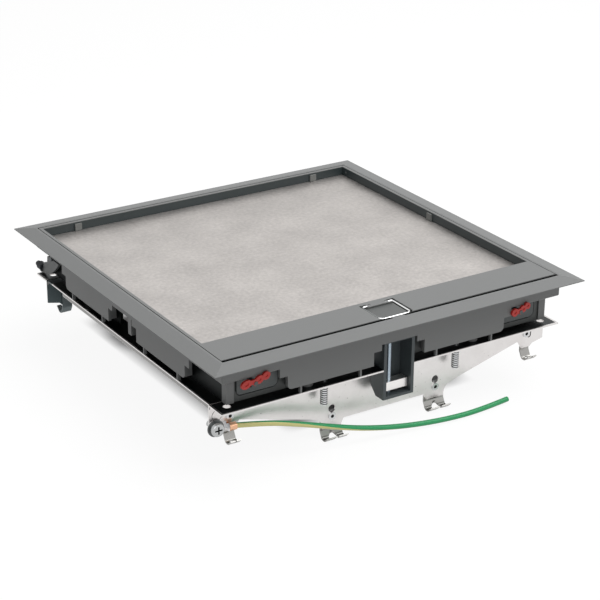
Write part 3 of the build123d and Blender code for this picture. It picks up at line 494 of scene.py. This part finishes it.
# %% Dress the solids
DRESS = {
    "frame_body": iron_grey, "lid_frame": lid_grey, "lid_sheet": sheet_steel,
    "sheet_lugs": lug_grey, "lid_seal": seal_black, "bail_handle": chrome,
    "latch_bolt": latch_grey, "latch_spring": spring_steel,
    "front_angle": skirt_steel, "back_angle": skirt_steel,
    "support_screws": zinc, "levelling_screws": zinc,
    "clamp_housing": slate, "clamp_spindle": spindle_steel, "clamp_plate": clamp_metal,
    "earth_screw": screw_zinc, "earth_washer": washer_steel, "crimp_lug": copper,
}
STARTS = {
    "hook_clips_front": spring_steel, "hook_clips_back": shaded_spring,
    "clip_rivets": zinc, "hinge_pin": zinc, "side_rail": skirt_steel,
    "rear_claw": claw_grey, "claw_pin": shaded_shank_steel, "claw_knob": knob_black,
    "lock_plate": lock_grey, "lock_lever": lever_red, "lever_pin": lock_grey,
}


def finish_of(node):
    """The finish of a node, by its full name or by the start of its name."""
    if node in DRESS:
        return DRESS[node]
    return next((look for start, look in STARTS.items() if node.startswith(start)), None)


dressed = 0
for name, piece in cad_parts.items():
    look = finish_of(name)
    if look:
        for slot in piece.material_slots:
            slot.material = look
        dressed += 1
print("dressed", dressed, "nodes")

# %% [markdown]
# ## Screw threads from a node tree
# A thread is one small profile swept along a helix. The node tree keeps the radius, pitch, turns
# and bead as named inputs, so the same tree cuts the levelling screws and the clamp's spindle.

# %% Thread tree
HELIX_STEPS = 20  # straight steps in each turn
RIDGE_SIDES = 5


def thread_tree(look):
    """Geometry nodes: a helix of the given radius, pitch and turns, swept into a fine ridge."""
    tree = bpy.data.node_groups.new("screw_thread", "GeometryNodeTree")
    sockets = {}
    for name in ("Radius", "Pitch", "Turns", "Bead"):
        made = tree.interface.new_socket(name, in_out="INPUT", socket_type="NodeSocketFloat")
        sockets[name] = made.identifier
    tree.interface.new_socket("Mesh", in_out="OUTPUT", socket_type="NodeSocketGeometry")
    given = tree.nodes.new("NodeGroupInput")
    helix = tree.nodes.new("GeometryNodeCurveSpiral")
    helix.inputs["Resolution"].default_value = HELIX_STEPS
    ridge = tree.nodes.new("GeometryNodeCurvePrimitiveCircle")
    ridge.inputs["Resolution"].default_value = RIDGE_SIDES
    height = tree.nodes.new("ShaderNodeMath")
    height.operation = "MULTIPLY"
    sweep = tree.nodes.new("GeometryNodeCurveToMesh")
    paint = tree.nodes.new("GeometryNodeSetMaterial")
    paint.inputs["Material"].default_value = look
    result = tree.nodes.new("NodeGroupOutput")
    pairs = [
        (given.outputs["Radius"], helix.inputs["Start Radius"]),
        (given.outputs["Radius"], helix.inputs["End Radius"]),
        (given.outputs["Turns"], helix.inputs["Rotations"]),
        (given.outputs["Pitch"], height.inputs[0]),
        (given.outputs["Turns"], height.inputs[1]),
        (height.outputs[0], helix.inputs["Height"]),
        (given.outputs["Bead"], ridge.inputs["Radius"]),
        (helix.outputs["Curve"], sweep.inputs["Curve"]),
        (ridge.outputs["Curve"], sweep.inputs["Profile Curve"]),
        (sweep.outputs["Mesh"], paint.inputs["Geometry"]),
        (paint.outputs["Geometry"], result.inputs["Mesh"]),
    ]
    for start, end in pairs:
        tree.links.new(start, end)
    return tree, sockets


def plain_mesh(maker):
    """The mesh that an object's modifiers or bevel give."""
    final = maker.evaluated_get(bpy.context.evaluated_depsgraph_get())
    return bpy.data.meshes.new_from_object(final)


THREADS, THREAD_INPUTS = thread_tree(zinc)

# %% Cut the threads
# heights, radius, pitch and bead in millimetres
LEVEL_THREAD = {"low": 27.4, "high": 41.6, "radius": 2.0, "pitch": 1.4, "bead": 0.32}
SPINDLE_THREAD = {"low": 24.0, "high": 57.0, "radius": 1.6, "pitch": 0.8, "bead": 0.1}
LEVEL_X, LEVEL_Y = 48.0, -113.4
SPINDLE_PLACE = (-3.3, -115.2)


def thread(name, body, place, look, low, high, radius, pitch, bead):
    """Thread round an upright screw, as a plain mesh that rides with its body."""
    mesh = bpy.data.meshes.new(name)
    maker = bpy.data.objects.new(name, mesh)
    bpy.context.collection.objects.link(maker)
    nodes = maker.modifiers.new("thread", "NODES")
    nodes.node_group = THREADS
    values = {"Radius": radius, "Pitch": pitch, "Turns": (high - low) / pitch, "Bead": bead}
    for key, value in values.items():
        nodes[THREAD_INPUTS[key]] = float(value) * (1 if key == "Turns" else MM)
    made = plain_mesh(maker)
    made.transform(Matrix.Translation(Vector((*place, low)) * MM))
    maker.modifiers.clear()
    made.materials[0] = look
    maker.data = made
    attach(maker, body)


for side, x in (("left", -LEVEL_X), ("right", LEVEL_X)):
    thread(f"levelling_thread_{side}", "frame", (x, LEVEL_Y), shaded_shank_steel, **LEVEL_THREAD)
thread("spindle_thread", "spindle", SPINDLE_PLACE, spindle_steel, **SPINDLE_THREAD)
print("threads made")

# %% [markdown]
# ## Pressed marks and dark holes
# The skirt carries a shallow pressed ring and a small cut beside a rivet. Each is a thin line let
# into the steel. The hollow rivets are deep and narrow, so a black disc near the bottom is painted
# shade for each bore.

# %% Marks on the front skirt
SKIRT_FACE = -107.2
RING_PLACE, RING_RADIUS, RING_LINE = (-116.9, 35.3), 3.4, 0.16
HOOK_CUT = [(112.2, 34.9), (112.2, 31.6), (111.8, 30.3), (110.4, 30.0)]
HOOK_LINE = 0.28


def inlay(name, points, radius, look, closed=False):
    """Thin line half sunk in the front skirt, through (x, height) points."""
    curve = bpy.data.curves.new(name, "CURVE")
    curve.dimensions = "3D"
    curve.bevel_depth = radius * MM
    curve.bevel_resolution = 2
    line = curve.splines.new("NURBS")
    line.points.add(len(points) - 1)
    for point, (x, z) in zip(line.points, points):
        point.co = (x * MM, SKIRT_FACE * MM, z * MM, 1)
    line.order_u = 3
    line.use_endpoint_u = not closed
    line.use_cyclic_u = closed
    maker = bpy.data.objects.new(name, curve)
    bpy.context.collection.objects.link(maker)
    mesh = plain_mesh(maker)
    piece = bpy.data.objects.new(f"{name}_line", mesh)
    bpy.data.objects.remove(maker)
    bpy.context.collection.objects.link(piece)
    mesh.materials.append(look)
    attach(piece, "frame")


def circle_points(x, z, radius, count=12):
    """Points round a circle on the skirt."""
    turns = [2 * math.pi * i / count for i in range(count)]
    return [(x + radius * math.cos(t), z + radius * math.sin(t)) for t in turns]


mark_grey = plastic("pressed_mark", (0.16, 0.16, 0.16), 0.6, grain=0.02)
inlay("pressed_ring", circle_points(*RING_PLACE, RING_RADIUS), RING_LINE, mark_grey, closed=True)
inlay("hook_cut", HOOK_CUT, HOOK_LINE, hole_black)
print("pressed marks made")

# %% Rivet shade discs
RIVETS = [(-38.0, 14.0), (38.0, 14.0), (-108.5, 33.0), (108.5, 33.0)]  # x and height
SHADE_DISC_LINE = 107.4  # distance of the discs from the middle
SHADE_DISC_WIDE, SHADE_DISC_NARROW, SHADE_DISC_THICK = 1.08 * MM, 1.0 * MM, 0.2 * MM


def rivet_shade_discs(name, places):
    """Black discs of painted shade inside the hollow rivets, one mesh."""
    work = bmesh.new()
    for x, z, y in places:
        turn = Matrix.Translation(Vector((x, y, z)) * MM) @ Matrix.Rotation(math.pi / 2, 4, "X")
        bmesh.ops.create_cone(work, cap_ends=True, segments=20, radius1=SHADE_DISC_WIDE,
                              radius2=SHADE_DISC_NARROW, depth=SHADE_DISC_THICK, matrix=turn)
    mesh = bpy.data.meshes.new(name)
    work.to_mesh(mesh)
    work.free()
    # the black is painted shade for the deep bore
    mesh.materials.append(hole_black)
    piece = bpy.data.objects.new(name, mesh)
    bpy.context.collection.objects.link(piece)
    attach(piece, "frame")


for side, sign in (("front", 1), ("back", -1)):
    places = [(sign * x, z, sign * -SHADE_DISC_LINE) for x, z in RIVETS]
    rivet_shade_discs(f"rivet_shade_discs_{side}", places)
print("rivet floors made")

# %% [markdown]
# ## The studio
# A product shot of this kind stands on white, with one large soft box above and a weaker one at
# the front left. The floor glows white to the camera but still takes the box's shadow, and metal
# sees the same white, so that steel reads as bright sheet and not as black mirrors. Inside the box
# the floor has no glow and is lit by the lamps only, so it is dark while the lid is shut.

# %% Floor and world
FLOOR_SIZE = 6.0
BOUNCE = 0.6  # how much light the floor gives back to the box
SHADOW = 0.1  # how much of the floor's white can be shadowed
FLOOR_WHITE = 1.02
AMBIENT = 0.14  # strength of the white world as light, while the camera sees it as full white
# the floor under the box has no glow of its own: limits along x and y, in millimetres
UNDER_BOX = [((-60, 84), (-92, -40)), ((-92, 100), (-62, 104)), ((-92, -30), (60, 128))]
SOFT_EDGE = 16.0


def make_floor():
    """White floor that glows to the camera, but not under the box."""
    mesh = bpy.data.meshes.new("studio_floor")
    half = FLOOR_SIZE / 2
    corners = [(-half, -half, 0), (half, -half, 0), (half, half, 0), (-half, half, 0)]
    mesh.from_pydata(corners, [], [(0, 1, 2, 3)])
    floor = bpy.data.objects.new("studio_floor", mesh)
    bpy.context.collection.objects.link(floor)
    finish = Finish("studio_floor")
    rays = finish.node("ShaderNodeLightPath").socket.node.outputs
    seen = finish.node("ShaderNodeMath", {"operation": "MAXIMUM"}, {
        0: Value(finish, rays["Is Camera Ray"]), 1: Value(finish, rays["Is Glossy Ray"]),
    })
    glow = seen
    for x, y in UNDER_BOX:
        glow = glow * (1 - finish.soft_zone(x, y, SOFT_EDGE))
    below = finish.node("ShaderNodeNewGeometry", output="Backfacing")
    finish.set(
        Base_Color=finish.mix(glow, (BOUNCE,) * 3, (SHADOW,) * 3),
        Emission_Color=finish.mix(glow, BLACK, (FLOOR_WHITE - SHADOW,) * 3), Alpha=1 - below,
        Emission_Strength=1.0, Roughness=0.9, Specular_IOR_Level=0.0,
    )
    mesh.materials.append(finish.material)


def make_world(ambient):
    """White to the camera and to reflections, and a weak fill light for all else."""
    world = bpy.data.worlds.new("studio_world")
    world.use_nodes = True
    bpy.context.scene.world = world
    tree = world.node_tree
    ray = tree.nodes.new("ShaderNodeLightPath")
    background = tree.nodes["Background"]
    background.inputs["Color"].default_value = (1, 1, 1, 1)
    seen = tree.nodes.new("ShaderNodeMath")
    seen.operation = "MAXIMUM"
    tree.links.new(ray.outputs["Is Camera Ray"], seen.inputs[0])
    tree.links.new(ray.outputs["Is Glossy Ray"], seen.inputs[1])
    both = tree.nodes.new("ShaderNodeMath")
    both.operation = "MAXIMUM"
    tree.links.new(seen.outputs[0], both.inputs[0])
    tree.links.new(ray.outputs["Is Transmission Ray"], both.inputs[1])
    strength = tree.nodes.new("ShaderNodeMapRange")
    tree.links.new(both.outputs[0], strength.inputs["Value"])
    strength.inputs["To Min"].default_value = ambient
    strength.inputs["To Max"].default_value = 1.0
    tree.links.new(strength.outputs["Result"], background.inputs["Strength"])


make_floor()
make_world(AMBIENT)
print("floor and world made")

# %% Soft boxes
# place in metres, width in metres and power in watts
SOFT_BOXES = {
    "overhead_box": ((0.4, -0.25, 1.45), 1.7, 29),
    "front_box": ((-0.6, -1.8, 0.7), 1.0, 5.5),
}


def soft_box(name, place, width, power):
    """Square soft box that looks at the middle of the box's foot."""
    light = bpy.data.lights.new(name, "AREA")
    light.shape = "RECTANGLE"
    light.size = light.size_y = width
    light.energy = power
    lamp = bpy.data.objects.new(name, light)
    turn = (-Vector(place)).to_track_quat("-Z", "Y").to_matrix().to_4x4()
    lamp.matrix_world = Matrix.Translation(place) @ turn
    bpy.context.collection.objects.link(lamp)


for name, (place, width, power) in SOFT_BOXES.items():
    soft_box(name, place, width, power)
print("soft boxes", len(SOFT_BOXES))

# %% Standard view
scene = bpy.context.scene
scene.view_settings.view_transform = "Standard"

# %% Sizes, then finish
bpy.context.view_layer.update()
